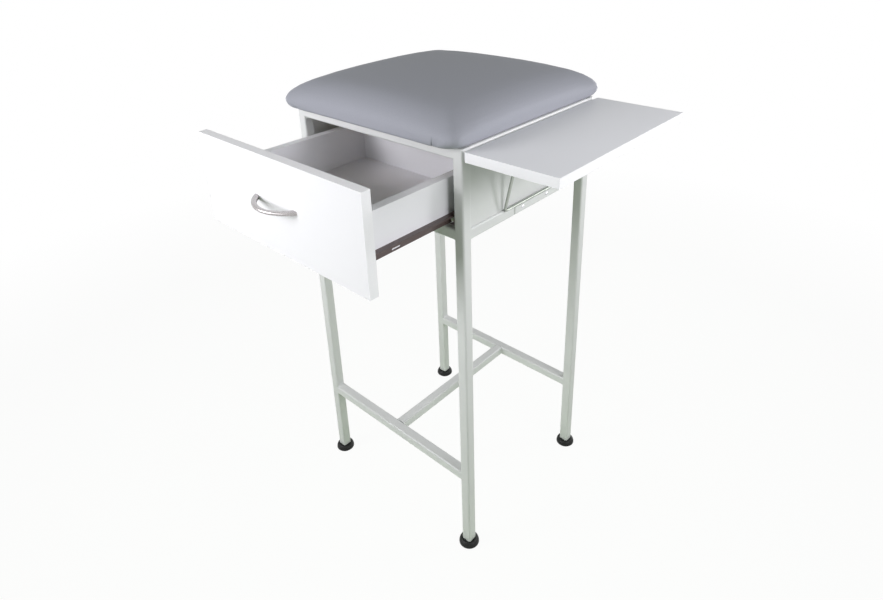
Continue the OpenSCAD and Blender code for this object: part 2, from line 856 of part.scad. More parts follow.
module hinge_moving_plates() {
    plate_x0 = hinge_x + knuckle_d / 2 + 2 * run_gap;
    placed() color(zinc) for (y = hinge_ys) difference() {
        union() {
            translate([plate_x0, y - hinge_len / 2, leaf_z0 - hinge_t])
                cube([hinge_reach + hinge_x - plate_x0, hinge_len, hinge_t]);
            knuckle(y - hinge_len / 2 + knuckle_len + run_gap, knuckle_len - 2 * run_gap);
            translate([hinge_x, y - hinge_len / 2 + knuckle_len + run_gap, leaf_z0 - 2 * hinge_t])
                cube([plate_x0 - hinge_x + over, knuckle_len - 2 * run_gap, 2 * hinge_t]);
        }
        pin_bore(y);
        hinge_leaf_places() screw_hole(hinge_t + over);
    }
}

module hinge_pins() {
    placed() color(zinc) for (y = hinge_ys)
        translate([hinge_x, y + hinge_len / 2, hinge_z]) rotate([90, 0, 0])
            cylinder(d = pin_d, h = hinge_len);
}

// Screws of the fixed plates, heads towards the leaf
module hinge_rail_places() {
    for (y = hinge_ys, s = [-1, 1])
        translate([frame_w / 2 + hinge_t, y + s * hinge_len * hinge_screw_share, top_z])
            rotate([0, 90, 0]) children();
}

// Screws of the moving plates, heads below
module hinge_leaf_places() {
    for (y = hinge_ys, s = [-1, 1])
        translate([hinge_x + hinge_reach * 2 / 3, y + s * hinge_len * hinge_screw_share, leaf_z0 - hinge_t])
            rotate([180, 0, 0]) children();
}

module hinge_rail_screws() {
    placed() color(zinc) hinge_rail_places() small_screw(hinge_screw_len);
}

module hinge_leaf_screws() {
    placed() color(zinc) hinge_leaf_places() small_screw(leaf_screw_len);
}

// Stay

// Middle of each saddle along Y, over the stay's outer stubs
saddle_off = stay_w / 2 + bend_r + saddle_gap + saddle_w / 2;

// Saddle screws, one in each ear, heads below
module saddle_places() {
    for (sy = [-1, 1], sx = [-1, 1])
        translate([pivot_x + sx * (rod_r + saddle_t + saddle_ear / 2),
            leaf_mid_y + sy * saddle_off, leaf_z0 - saddle_t])
            rotate([180, 0, 0]) children();
}

module stay_saddles() {
    hoop_r = rod_r + fit + saddle_t;
    placed() color(zinc) difference() {
        for (sy = [-1, 1]) translate([pivot_x, leaf_mid_y + sy * saddle_off + saddle_w / 2, 0])
            rotate([90, 0, 0]) linear_extrude(saddle_w) difference() {
                union() {
                    translate([0, pivot_z]) circle(hoop_r);
                    translate([-hoop_r, pivot_z]) square([2 * hoop_r, leaf_z0 - pivot_z]);
                    translate([-hoop_r - saddle_ear, leaf_z0 - saddle_t])
                        square([2 * (hoop_r + saddle_ear), saddle_t]);
                }
                translate([0, pivot_z]) circle(rod_r + fit);
                translate([-2 * hoop_r, leaf_z0]) square([4 * hoop_r, 2 * hoop_r]);
            }
        saddle_places() screw_hole(saddle_t + over);
    }
}

module saddle_screws() {
    placed() color(zinc) saddle_places() small_screw(leaf_screw_len);
}

// Quarter bend of the rod, from the origin along +Y and then turning towards -Z
module rod_bend() {
    translate([0, 0, -bend_r]) rotate([90, 0, 90]) rotate_extrude(angle = 90)
        translate([bend_r, 0]) circle(rod_r);
}

// One half of the stay in its own plane: pivot stub, arm and half the foot bar
module stay_half() {
    half = stay_w / 2;
    straight = arm_len - 2 * bend_r;
    translate([0, half + bend_r, 0]) rotate([-90, 0, 0]) cylinder(d = rod_d, h = stub_len - bend_r);
    translate([0, half + bend_r, 0]) mirror([0, 1, 0]) rod_bend();
    translate([0, half, -bend_r - straight]) cylinder(d = rod_d, h = straight);
    translate([0, half - bend_r, -arm_len]) mirror([0, 0, 1]) rod_bend();
    translate([0, 0, -arm_len]) rotate([-90, 0, 0]) cylinder(d = rod_d, h = half - bend_r);
}

module stay() {
    placed() color(zinc) translate([pivot_x, leaf_mid_y, pivot_z]) rotate([0, arm_tilt, 0]) {
        stay_half();
        mirror([0, 1, 0]) stay_half();
    }
}

// Strip on the lower rail that the stay's foot bar slides down in front of
module strip_places() {
    for (s = [-1, 1])
        translate([frame_w / 2 + strip_t, leaf_mid_y + s * strip_len * strip_screw_share, strip_z])
            rotate([0, 90, 0]) children();
}

module rub_strip() {
    placed() color(paint) difference() {
        translate([frame_w / 2, leaf_mid_y - strip_len / 2, strip_z - strip_h / 2])
            cube([strip_t, strip_len, strip_h]);
        strip_places() screw_hole(strip_t + over);
    }
}

module rub_strip_screws() {
    placed() color(zinc) strip_places() small_screw(strip_screw_len);
}

leg_front_left();
leg_front_right();
leg_back_left();
leg_back_right();
top_rail_front();
top_rail_back();
top_rail_left();
top_rail_right();
low_rail_front();
low_rail_back();
low_rail_left();
low_rail_right();
stretcher_front();
stretcher_back();
stretcher_cross();
weld_fillets();
foot_front_left();
foot_front_right();
foot_back_left();
foot_back_right();
side_panel_left();
side_panel_right();
back_panel();
corner_tabs();
cushion_base();
cushion();
cushion_screws();
slide_bar_left();
slide_bar_right();
case_slide_left();
case_slide_right();
case_slide_screws();
case_roller_left();
case_roller_right();
drawer_front();
drawer_front_edging();
drawer_side_left();
drawer_side_right();
drawer_back();
drawer_bottom();
drawer_rail_left();
drawer_rail_right();
drawer_rail_screws();
drawer_roller_left();
drawer_roller_right();
handle();
handle_screws();
leaf_board();
leaf_edging();
hinge_fixed_plates();
hinge_pins();
hinge_moving_plates();
hinge_rail_screws();
hinge_leaf_screws();
stay_saddles();
saddle_screws();
stay();
rub_strip();
rub_strip_screws();
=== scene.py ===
# %% [markdown]
# A small clinic table with a padded top. The welded frame, the drawer, its slides and the
# side leaf come from the imported model at their real sizes. This script gives each of them a
# finish, and makes the soft cushion, the bow handle, the bent wire stay, the welds and the
# screws in more detail than the imported solids hold. First comes the imported model, and its
# box is kept, so that the last cell can show how much the dressed table grew past it.

import json
import math

import bmesh
import bpy
from mathutils import Matrix, Vector


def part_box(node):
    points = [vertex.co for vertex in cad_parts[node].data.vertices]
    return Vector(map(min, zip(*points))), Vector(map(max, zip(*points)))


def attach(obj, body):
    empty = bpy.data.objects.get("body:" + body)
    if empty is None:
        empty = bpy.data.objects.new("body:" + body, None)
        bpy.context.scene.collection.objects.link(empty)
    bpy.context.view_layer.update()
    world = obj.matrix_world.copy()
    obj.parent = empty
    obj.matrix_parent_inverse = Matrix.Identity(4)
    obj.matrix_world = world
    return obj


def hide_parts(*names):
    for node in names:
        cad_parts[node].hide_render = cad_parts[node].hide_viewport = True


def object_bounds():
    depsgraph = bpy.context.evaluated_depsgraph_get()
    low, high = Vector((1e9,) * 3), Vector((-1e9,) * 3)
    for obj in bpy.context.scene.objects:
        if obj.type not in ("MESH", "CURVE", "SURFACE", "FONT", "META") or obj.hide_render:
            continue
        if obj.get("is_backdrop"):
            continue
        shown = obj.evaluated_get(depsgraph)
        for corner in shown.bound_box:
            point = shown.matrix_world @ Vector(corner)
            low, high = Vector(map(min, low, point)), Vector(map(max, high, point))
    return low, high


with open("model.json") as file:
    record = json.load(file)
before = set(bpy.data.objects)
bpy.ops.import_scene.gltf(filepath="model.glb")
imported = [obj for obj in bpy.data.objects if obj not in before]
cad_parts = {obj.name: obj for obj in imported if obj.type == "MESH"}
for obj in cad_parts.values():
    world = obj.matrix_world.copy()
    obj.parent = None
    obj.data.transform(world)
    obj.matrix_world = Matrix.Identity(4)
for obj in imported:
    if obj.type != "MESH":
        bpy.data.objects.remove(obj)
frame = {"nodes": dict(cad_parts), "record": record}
nodes = frame["nodes"]
cad_box = [[float(v) for v in corner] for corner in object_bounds()]
MM = 0.001
print("packed box, lowest and highest corner:", cad_box)

# %% [markdown]
# The camera stands where the photograph was taken from. Its place and its turn were worked
# out from the straight edges of the frame. Blender wants the directions of the camera's own
# right, up and back as the columns of a matrix, so those three are built from the three
# angles. The place is measured from the middle of the four legs, so that it holds wherever
# the frame's origin lies. The small shift moves the picture as the photograph was cropped.

# %% Camera
EYE_FROM_LEGS = Vector((0.7925, -0.8543, 1.1612))
YAW, PITCH, ROLL = (math.radians(angle) for angle in (43.0, -23.65, -1.8))
PICTURE_W = 883
FOCAL_PIXELS = 637.32
SENSOR_MM = 36
CROP_SHIFT = (-0.0052, -0.1181)


def camera_matrix(eye, yaw, pitch, roll):
    flat = math.cos(pitch)
    ahead = Vector((-math.sin(yaw) * flat, math.cos(yaw) * flat, math.sin(pitch)))
    level = ahead.cross(Vector((0, 0, 1))).normalized()
    upright = level.cross(ahead)
    right = level * math.cos(roll) + upright * math.sin(roll)
    up = upright * math.cos(roll) - level * math.sin(roll)
    turn = Matrix((right, up, -ahead)).transposed().to_4x4()
    return Matrix.Translation(eye) @ turn


def legs_middle():
    corners = [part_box("leg_front_left")[0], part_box("leg_back_right")[1]]
    return Vector([(corners[0][i] + corners[1][i]) / 2 for i in range(2)] + [0.0])


camera_data = bpy.data.cameras.new("camera")
camera = bpy.data.objects.new("camera", camera_data)
bpy.context.scene.collection.objects.link(camera)
camera.matrix_world = camera_matrix(legs_middle() + EYE_FROM_LEGS, YAW, PITCH, ROLL)
camera_data.sensor_width = SENSOR_MM
camera_data.sensor_fit = "HORIZONTAL"
camera_data.lens = FOCAL_PIXELS * SENSOR_MM / PICTURE_W
camera_data.shift_x, camera_data.shift_y = CROP_SHIFT
camera_data.dof.use_dof = False
bpy.context.scene.camera = camera
bpy.context.scene.view_settings.view_transform = "Standard"
print("lens in millimetres:", round(camera_data.lens, 2))

# %% [markdown]
# Materials and Geometry Nodes are both made of nodes joined by links. Making each one by
# hand takes several lines, so a small wrapper keeps the sums readable: a Wire is one output,
# and adding or multiplying two wires makes the Math node for it. The function node() makes
# any node, sets what it is told and links what it is given.

# %% Wires and nodes
class Wire:
    """One output of a node, which can be added to, multiplied and divided."""

    def __init__(self, tree, socket):
        self.tree = tree
        self.socket = socket

    def sum_with(self, operation, other):
        return node(self.tree, "ShaderNodeMath", {0: self, 1: other}, operation=operation)

    def __add__(self, other):
        return self.sum_with("ADD", other)

    def __mul__(self, other):
        return self.sum_with("MULTIPLY", other)

    def __truediv__(self, other):
        return self.sum_with("DIVIDE", other)


def node(tree, kind, inputs=None, out=0, **settings):
    """Make a node, set its settings, feed its inputs, and return one of its outputs."""
    made = tree.nodes.new(kind)
    for name, value in settings.items():
        setattr(made, name, value)
    for name, value in (inputs or {}).items():
        if isinstance(value, Wire):
            tree.links.new(value.socket, made.inputs[name])
        else:
            made.inputs[name].default_value = value
    return Wire(tree, made.outputs[out])


# %% [markdown]
# A finish starts from one Principled shader. Numbers that are the same all over the surface
# are set on the shader's own sockets. What varies, such as a speckle in the colour or a fine
# bump, is linked. Every pattern reads Object coordinates, which are metres on the table
# itself, so a scale of 1000 is a pattern about one millimetre across.

# %% A finish and its patterns
class Finish:
    """A material with one Principled shader, and short ways to patterns in real sizes."""

    def __init__(self, name, **fixed):
        self.material = bpy.data.materials.new(name)
        self.material.use_nodes = True
        self.tree = self.material.node_tree
        self.shader = self.tree.nodes["Principled BSDF"]
        for socket, value in fixed.items():
            title = socket.replace("_", " ").title().replace("Ior", "IOR")
            self.shader.inputs[title].default_value = value
        self.places = node(self.tree, "ShaderNodeTexCoord", out="Object")

    def node(self, kind, inputs=None, out=0, **settings):
        return node(self.tree, kind, inputs, out, **settings)

    def stretched(self, scale):
        return self.node("ShaderNodeMapping", {"Vector": self.places, "Scale": scale})

    def speckle(self, size, detail=2.0, places=None):
        inputs = {"Vector": places or self.places, "Scale": 1 / size, "Detail": detail}
        return self.node("ShaderNodeTexNoise", inputs, out="Fac")

    def mix(self, factor, low, high):
        """A colour between two. The node has sockets of one name for each kind; one is enabled."""
        made = self.tree.nodes.new("ShaderNodeMix")
        made.data_type = "RGBA"
        for name, value in {"Factor": factor, "A": low, "B": high}.items():
            socket = next(s for s in made.inputs if s.name == name and s.enabled)
            if isinstance(value, Wire):
                self.tree.links.new(value.socket, socket)
            else:
                socket.default_value = value
        return Wire(self.tree, next(s for s in made.outputs if s.enabled))

    def ramp(self, wire, low, high):
        inputs = {"Value": wire, "From Min": low, "From Max": high}
        return self.node("ShaderNodeMapRange", inputs)

    def bump(self, height, depth, strength=1.0, under=None):
        inputs = {"Height": height, "Distance": depth, "Strength": strength}
        if under is not None:
            inputs["Normal"] = under
        return self.node("ShaderNodeBump", inputs, out="Normal")

    def feed(self, **wires):
        for socket, wire in wires.items():
            self.tree.links.new(wire.socket, self.shader.inputs[socket.replace("_", " ")])
        return self.material


def rgb(red, green, blue):
    return (red, green, blue, 1.0)


# %% [markdown]
# The welded frame and its panels are powder coated in a pale grey with a hint of green,
# which shows where little light falls. Powder melts in the oven into a skin with a faint
# orange peel, a few millimetres across. That peel is a bump, and it also moves the
# roughness a little, as it does on the real coat.

# %% Powder coat
def powder_coat():
    finish = Finish("powder_coat", specular_ior_level=0.5)
    peel = finish.speckle(2.6 * MM, detail=1.5)
    cloud = finish.speckle(60 * MM, detail=3.0)
    colour = finish.mix(cloud, rgb(0.650, 0.662, 0.655), rgb(0.685, 0.697, 0.690))
    return finish.feed(
        Base_Color=colour,
        Roughness=peel * 0.08 + cloud * 0.06 + 0.30,
        Normal=finish.bump(peel, 0.05 * MM, strength=0.5),
    )


# %% [markdown]
# The cushion's cover is grey vinyl, pressed with a very fine leather grain. The grain is a
# cell pattern: the edges between the cells are the valleys. It is far too small to model,
# so it is a bump, with a second, softer noise for the way the sheet ripples when it is
# pulled over foam.

# %% Vinyl
def vinyl():
    finish = Finish("vinyl", specular_ior_level=0.05)
    wander = finish.speckle(3.0 * MM, detail=2.0)
    grain = finish.node(
        "ShaderNodeTexVoronoi",
        {"Vector": finish.places, "Scale": 1 / (1.1 * MM), "Randomness": 1.0},
        out="Distance",
        feature="SMOOTH_F1",
    )
    ripple = finish.speckle(22 * MM, detail=2.0)
    colour = finish.mix(grain + wander * 0.4, rgb(0.300, 0.310, 0.344), rgb(0.326, 0.337, 0.372))
    soft = finish.bump(ripple, 0.35 * MM, strength=0.25)
    return finish.feed(
        Base_Color=colour,
        Roughness=grain * 0.08 + wander * 0.06 + 0.40,
        Normal=finish.bump(grain * -1.0, 0.05 * MM, strength=0.35, under=soft),
    )


# %% [markdown]
# The boards are chipboard faced with melamine paper. A white one makes the drawer front,
# a greyer white the drawer box, and a pale grey one the leaf. All have the same pearl of
# the press plate, and their edges are closed with a strip of plastic that is a little
# smoother and whiter than the face.

# %% Laminate and edging
def laminate(name, colour):
    finish = Finish(name, specular_ior_level=0.45)
    pearl = finish.speckle(0.9 * MM, detail=2.5)
    cloud = finish.speckle(45 * MM, detail=3.0)
    darker = rgb(*(c * 0.972 for c in colour))
    return finish.feed(
        Base_Color=finish.mix(pearl * 0.6 + cloud * 0.4, darker, rgb(*colour)),
        Roughness=pearl * 0.10 + cloud * 0.04 + 0.35,
        Normal=finish.bump(pearl, 0.02 * MM, strength=0.4),
    )


def edge_strip():
    finish = Finish("edge_strip", specular_ior_level=0.5)
    grain = finish.speckle(1.6 * MM, detail=2.0, places=finish.stretched((0.35, 0.35, 1.0)))
    colour = finish.mix(grain, rgb(0.86, 0.86, 0.88), rgb(0.90, 0.90, 0.92))
    return finish.feed(
        Base_Color=colour,
        Roughness=grain * 0.10 + 0.28,
        Normal=finish.bump(grain, 0.015 * MM, strength=0.3),
    )


# %% [markdown]
# The metal parts that aren't painted are of three kinds: zinc-plated steel on the hinges
# and the screws, and a darker, greener and rougher zinc on the stay; brushed nickel on the
# handle; and a brown-black enamel on the slides. Plating is mottled, brushing is drawn out
# along the handle, and enamel pools smoothly, so each gets noise of its own shape.

# %% Metals
def zinc_plate(name, dark, bright, roughness):
    finish = Finish(name, metallic=1.0)
    mottle = finish.speckle(4 * MM, detail=4.0)
    drawn = finish.speckle(0.7 * MM, detail=3.0, places=finish.stretched((1.0, 0.12, 1.0)))
    colour = finish.mix(mottle, dark, bright)
    return finish.feed(
        Base_Color=colour,
        Roughness=mottle * 0.18 + drawn * 0.10 + roughness,
        Normal=finish.bump(drawn, 0.02 * MM, strength=0.4),
    )


def brushed_nickel():
    finish = Finish("brushed_nickel", metallic=1.0)
    strokes = finish.speckle(0.5 * MM, detail=3.0, places=finish.stretched((0.02, 1.0, 1.0)))
    tarnish = finish.speckle(14 * MM, detail=3.0)
    colour = finish.mix(tarnish, rgb(0.40, 0.385, 0.385), rgb(0.48, 0.46, 0.455))
    return finish.feed(
        Base_Color=colour,
        Roughness=strokes * 0.16 + tarnish * 0.05 + 0.16,
        Normal=finish.bump(strokes, 0.02 * MM, strength=0.35),
    )


def slide_enamel():
    finish = Finish("slide_enamel", specular_ior_level=0.5)
    pooled = finish.speckle(5 * MM, detail=3.0)
    scratches = finish.speckle(1.2 * MM, detail=4.0, places=finish.stretched((1.0, 0.05, 1.0)))
    worn = finish.ramp(scratches, 0.62, 0.75)
    brown = finish.mix(pooled, rgb(0.060, 0.040, 0.038), rgb(0.085, 0.058, 0.054))
    colour = finish.mix(worn * 0.55, brown, rgb(0.30, 0.27, 0.26))
    return finish.feed(
        Base_Color=colour,
        Roughness=pooled * 0.12 + 0.24,
        Normal=finish.bump(pooled, 0.03 * MM, strength=0.4),
    )


# %% [markdown]
# Three plain materials are left: the nylon of the rollers, the black plastic of the feet
# with the fine spark texture of its mould, and the plywood board inside the cushion, which
# shows its grain and its plies. At the end all finishes are listed under the names of their
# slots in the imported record.

# %% Plastics and plywood
def nylon():
    finish = Finish(
        "nylon", specular_ior_level=0.45, subsurface_weight=0.12, subsurface_scale=2 * MM
    )
    cloud = finish.speckle(2 * MM, detail=2.0)
    colour = finish.mix(cloud, rgb(0.80, 0.79, 0.73), rgb(0.86, 0.85, 0.80))
    return finish.feed(
        Base_Color=colour,
        Roughness=cloud * 0.12 + 0.34,
        Normal=finish.bump(cloud, 0.02 * MM, strength=0.3),
    )


def black_plastic():
    finish = Finish("black_plastic", specular_ior_level=0.22)
    spark = finish.speckle(0.7 * MM, detail=3.0)
    scuff = finish.ramp(finish.speckle(9 * MM, detail=5.0), 0.55, 0.8)
    colour = finish.mix(scuff * 0.4, rgb(0.010, 0.011, 0.010), rgb(0.032, 0.034, 0.031))
    return finish.feed(
        Base_Color=colour,
        Roughness=spark * 0.14 + scuff * 0.12 + 0.36,
        Normal=finish.bump(spark, 0.03 * MM, strength=0.5),
    )


def plywood():
    finish = Finish("plywood", specular_ior_level=0.35)
    grain = finish.speckle(3 * MM, detail=5.0, places=finish.stretched((0.06, 1.0, 1.0)))
    height = finish.node("ShaderNodeSeparateXYZ", {"Vector": finish.places}, out="Z")
    layers = finish.node("ShaderNodeMath", {0: height / (3.0 * MM)}, operation="PINGPONG")
    plies = finish.ramp(layers, 0.4, 0.6)
    colour = finish.mix(grain * 0.7 + plies * 0.3, rgb(0.36, 0.23, 0.12), rgb(0.58, 0.42, 0.25))
    return finish.feed(
        Base_Color=colour,
        Roughness=grain * 0.10 + 0.60,
        Normal=finish.bump(grain, 0.12 * MM, strength=0.5),
    )


FINISHES = {
    "frame_paint": powder_coat(),
    "cushion_vinyl": vinyl(),
    "front_laminate": laminate("front_laminate", (0.86, 0.86, 0.88)),
    "drawer_board": laminate("drawer_board", (0.84, 0.84, 0.87)),
    "leaf_laminate": laminate("leaf_laminate", (0.82, 0.83, 0.865)),
    "edge_banding": edge_strip(),
    "zinc_steel": zinc_plate("zinc_plate", rgb(0.55, 0.56, 0.57), rgb(0.70, 0.71, 0.72), 0.26),
    "handle_nickel": brushed_nickel(),
    "slide_enamel": slide_enamel(),
    "roller_nylon": nylon(),
    "foot_plastic": black_plastic(),
    "plywood": plywood(),
}
# The stay's zinc: darker, greener and rougher than the zinc of the screws.
DARKER_ZINC = zinc_plate("darker_zinc", rgb(0.34, 0.37, 0.33), rgb(0.46, 0.49, 0.45), 0.38)
print("finishes:", ", ".join(FINISHES))

# %% [markdown]
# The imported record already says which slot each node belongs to, so the finishes are given
# out from the record, and a node that is added later can't be forgotten.

# %% Give every node its finish
for part in frame["record"]["subparts"]:
    mesh = nodes[part["node"]].data
    mesh.materials.clear()
    mesh.materials.append(FINISHES[part["material_slot"]])

# %% [markdown]
# The pieces that repeat, or follow a path, are grown by Geometry Nodes. The tree is built
# here from named sizes, put on an object as a modifier, worked out once, and kept as a
# plain mesh, because the exported model holds meshes only.

# %% Growing a piece from a tree
class Growth:
    """A Geometry Nodes tree with named inputs, which ends in Realize Instances and Set Material."""

    def __init__(self, name, **sizes):
        self.tree = bpy.data.node_groups.new(name, "GeometryNodeTree")
        face = self.tree.interface
        face.new_socket("Geometry", in_out="INPUT", socket_type="NodeSocketGeometry")
        for size, value in sizes.items():
            kind = "NodeSocketObject" if value is None else "NodeSocketFloat"
            socket = face.new_socket(size, in_out="INPUT", socket_type=kind)
            if value is not None:
                socket.default_value = value
        face.new_socket("Geometry", in_out="OUTPUT", socket_type="NodeSocketGeometry")
        self.start = self.tree.nodes.new("NodeGroupInput")

    def input(self, name):
        return Wire(self.tree, self.start.outputs[name])

    def node(self, kind, inputs=None, out=0, **settings):
        return node(self.tree, kind, inputs, out, **settings)

    def finish(self, geometry, material):
        real = self.node("GeometryNodeRealizeInstances", {"Geometry": geometry})
        dressed = self.node("GeometryNodeSetMaterial", {"Geometry": real, "Material": material})
        end = self.tree.nodes.new("NodeGroupOutput")
        self.tree.links.new(dressed.socket, end.inputs["Geometry"])


def grow(name, start, growth, **sizes):
    """Run a tree on a starting mesh and return the result as an object with a plain mesh."""
    seed = bpy.data.objects.new(name + "_seed", start)
    bpy.context.scene.collection.objects.link(seed)
    modifier = seed.modifiers.new("growth", "NODES")
    modifier.node_group = growth.tree
    for socket in growth.tree.interface.items_tree:
        if socket.in_out == "INPUT" and socket.name in sizes:
            modifier[socket.identifier] = sizes[socket.name]
    seen = seed.evaluated_get(bpy.context.evaluated_depsgraph_get())
    mesh = bpy.data.meshes.new_from_object(seen)
    seed.modifiers.remove(modifier)
    bpy.data.objects.remove(seed)
    return in_scene(name, mesh)


def in_scene(name, mesh):
    mesh.name = name
    made = bpy.data.objects.new(name, mesh)
    bpy.context.scene.collection.objects.link(made)
    return made


def longest_axis(low, high):
    """The axis along which a box is longest, and its unit vector."""
    axis = max(range(3), key=lambda i: high[i] - low[i])
    return axis, Vector([1.0 if i == axis else 0.0 for i in range(3)])


def shade_smooth(thing, angle=35):
    """Smooth faces, apart from edges sharper than the angle."""
    mesh = thing.data
    mesh.polygons.foreach_set("use_smooth", [True] * len(mesh.polygons))
    mesh.set_sharp_from_angle(angle=math.radians(angle))
    mesh.update()


# %% [markdown]
# A CAD node's mesh comes as loose triangles. A welded copy of it tells where each of its
# solids is: the screws of one node, for example. Each screw is read as the place where its
# head starts, the way the head looks, and its sizes.

# %% Reading solids from a node
RIM_SHARE = 0.98
THINNEST_SHANK = 0.2 * MM


def welded(node_name):
    """A copy of a node's mesh as a bmesh, with its loose triangles joined."""
    copy = bmesh.new()
    copy.from_mesh(nodes[node_name].data)
    bmesh.ops.remove_doubles(copy, verts=copy.verts, dist=0.001 * MM)
    return copy


def islands(copy):
    """The points of each separate solid of a bmesh, in the order of the mesh's own points."""
    left = set(copy.verts)
    for first in copy.verts:
        if first not in left:
            continue
        left.remove(first)
        found = [first]
        for vert in found:
            for edge in vert.link_edges:
                other = edge.other_vert(vert)
                if other in left:
                    left.remove(other)
                    found.append(other)
        yield [vert.co.copy() for vert in found]


def screw_at(points):
    """Where a screw's head starts, which way the head looks, and its sizes."""
    low = Vector([min(p[i] for p in points) for i in range(3)])
    high = Vector([max(p[i] for p in points) for i in range(3)])
    middle, size = (low + high) / 2, high - low
    axis, aim = longest_axis(low, high)
    across = [(p - middle).project(aim) - (p - middle) for p in points]
    widest = max(v.length for v in across)
    head = [p for p, v in zip(points, across) if v.length > widest * RIM_SHARE]
    if sum(p[axis] - middle[axis] for p in head) < 0:
        aim = -aim
    rim = sorted((p - middle).dot(aim) for p in head)
    shank = min(v.length for v in across if v.length > THINNEST_SHANK)
    return {
        "base": middle + aim * rim[0],
        "aim": aim,
        "head_r": widest,
        "head_t": size[axis] / 2 - rim[0],
        "shank_r": shank,
        "length": size[axis] / 2 + rim[0],
    }


# %% [markdown]
# One screw is modelled with care: a low domed head with the cross of its drive sunk in it.
# The head is a disc of rings whose height is a formula, low inside the cross and domed
# outside it.

# %% The form of one screw
RING_POINTS = 40
HEAD_RINGS = 9
CROSS_REACH = 0.52
CROSS_HALF = 0.105
CROSS_DEPTH = 0.62
HEAD_DOME = 0.55
TIP_SHARE = 0.15


def head_height(x, y):
    """Height of the head's face, as a share of its thickness; x and y are shares of its radius."""
    out = math.hypot(x, y)
    height = 1 - HEAD_DOME * out**4
    narrow = CROSS_HALF * (1.25 - 0.5 * out)
    if out < CROSS_REACH and min(abs(x), abs(y)) < narrow:
        height -= CROSS_DEPTH * (1 - (out / CROSS_REACH) ** 3)
    return height


def screw_mesh(name, head_r, head_t, shank_r, length):
    form = bmesh.new()
    rings = [(head_r * (r / HEAD_RINGS), None) for r in range(1, HEAD_RINGS + 1)]
    rings += [(head_r, 0.0), (shank_r, 0.0)]
    rings += [(shank_r, -length + shank_r), (shank_r * TIP_SHARE, -length)]
    top = form.verts.new((0, 0, head_t * head_height(0, 0)))
    last = None
    for radius, height in rings:
        ring = []
        for i in range(RING_POINTS):
            x, y = (radius * f(math.tau * i / RING_POINTS) for f in (math.cos, math.sin))
            z = head_t * head_height(x / head_r, y / head_r) if height is None else height
            ring.append(form.verts.new((x, y, z)))
        for i in range(RING_POINTS):
            j = (i + 1) % RING_POINTS
            face = (top, ring[i], ring[j]) if last is None else (last[i], ring[i], ring[j], last[j])
            form.faces.new(face)
        last = ring
    form.faces.new(reversed(last))
    mesh = bpy.data.meshes.new(name)
    form.to_mesh(mesh)
    form.free()
    return mesh


# %% [markdown]
# Geometry Nodes put a copy of a form at each of its places. A place is a point of a mesh
# with an attribute that says which way the copy's own Z looks. The spin turns each copy a
# little more about its Z than the one before, as screws are never all turned alike.

# %% Copies of a piece at their places
def spread_growth(name, material, spin):
    """A tree that puts a piece on each point and turns its own Z to the point's aim."""
    growth = Growth(name, Piece=None, Spin=spin)
    aim = growth.node("GeometryNodeInputNamedAttribute", {"Name": "aim"}, data_type="FLOAT_VECTOR")
    turned = growth.node("FunctionNodeAlignRotationToVector", {"Vector": aim}, axis="Z")
    index = growth.node("GeometryNodeInputIndex")
    spun = growth.node("ShaderNodeCombineXYZ", {"Z": index * growth.input("Spin")})
    loose = growth.node(
        "FunctionNodeRotateRotation",
        {"Rotation": turned, "Rotate By": spun},
        rotation_space="LOCAL",
    )
    piece = growth.node("GeometryNodeObjectInfo", {"Object": growth.input("Piece")}, out="Geometry")
    placed = growth.node(
        "GeometryNodeInstanceOnPoints",
        {"Points": growth.input("Geometry"), "Instance": piece, "Rotation": loose},
        out="Instances",
    )
    growth.finish(placed, material)
    return growth


def spread(name, form, places, growth):
    """Grow one copy of a form at each place, a pair of a point and an aim."""
    pattern = in_scene(name + "_pattern", form)
    start = bpy.data.meshes.new(name + "_places")
    start.from_pydata([point for point, aim in places], [], [])
    aims = start.attributes.new("aim", "FLOAT_VECTOR", "POINT")
    for slot, (point, aim) in zip(aims.data, places):
        slot.vector = aim
    piece = grow(name, start, growth, Piece=pattern)
    bpy.data.objects.remove(pattern)
    shade_smooth(piece)
    return piece


# %% [markdown]
# Each node of screws is read, and detailed screws of its first one's sizes take its place.

# %% Screws
SCREW_SPIN = 0.6
SCREW_GROWTH = spread_growth("screws_on_points", FINISHES["zinc_steel"], SCREW_SPIN)


def dress_screws(node_name, body):
    """Replace a node of plain screws with detailed ones, on the same places."""
    copy = welded(node_name)
    found = [screw_at(points) for points in islands(copy)]
    copy.free()
    sizes = {size: found[0][size] for size in ("head_r", "head_t", "shank_r", "length")}
    form = screw_mesh(node_name + "_form", **sizes)
    places = [(screw["base"], screw["aim"]) for screw in found]
    piece = spread(node_name + "_dressed", form, places, SCREW_GROWTH)
    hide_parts(node_name)
    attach(piece, body)
    print(node_name, "screws:", len(found), "faces:", len(piece.data.polygons))


SCREW_NODES = {
    "frame": ["cushion_screws", "case_slide_screws", "hinge_rail_screws", "rub_strip_screws"],
    "drawer": ["drawer_rail_screws", "handle_screws"],
    "leaf": ["hinge_leaf_screws", "saddle_screws"],
}
for body, names in SCREW_NODES.items():
    for name in names:
        dress_screws(name, body)

# %% [markdown]
# A square tube has round corners, so a rail that ends on a leg leaves a small groove beside
# it. On the real frame the weld fills that groove and is ground flush. Here a short stub of
# the rail's own section runs on past its end, to where the leg's face is flat. The same tree
# that spread the screws puts one stub on both ends of each rail.

# %% Ground welds at the rails' ends
TUBE_ROUND = 3.5 * MM
WELD_BACK = 1.0 * MM
WELD_GROUND = 0.03 * MM
ROUND_STEPS = 6
SIDES = ("front", "back", "left", "right")
RAILS = [f"{level}_rail_{side}" for level in ("top", "low") for side in SIDES]
RAILS += ["stretcher_front", "stretcher_back"]


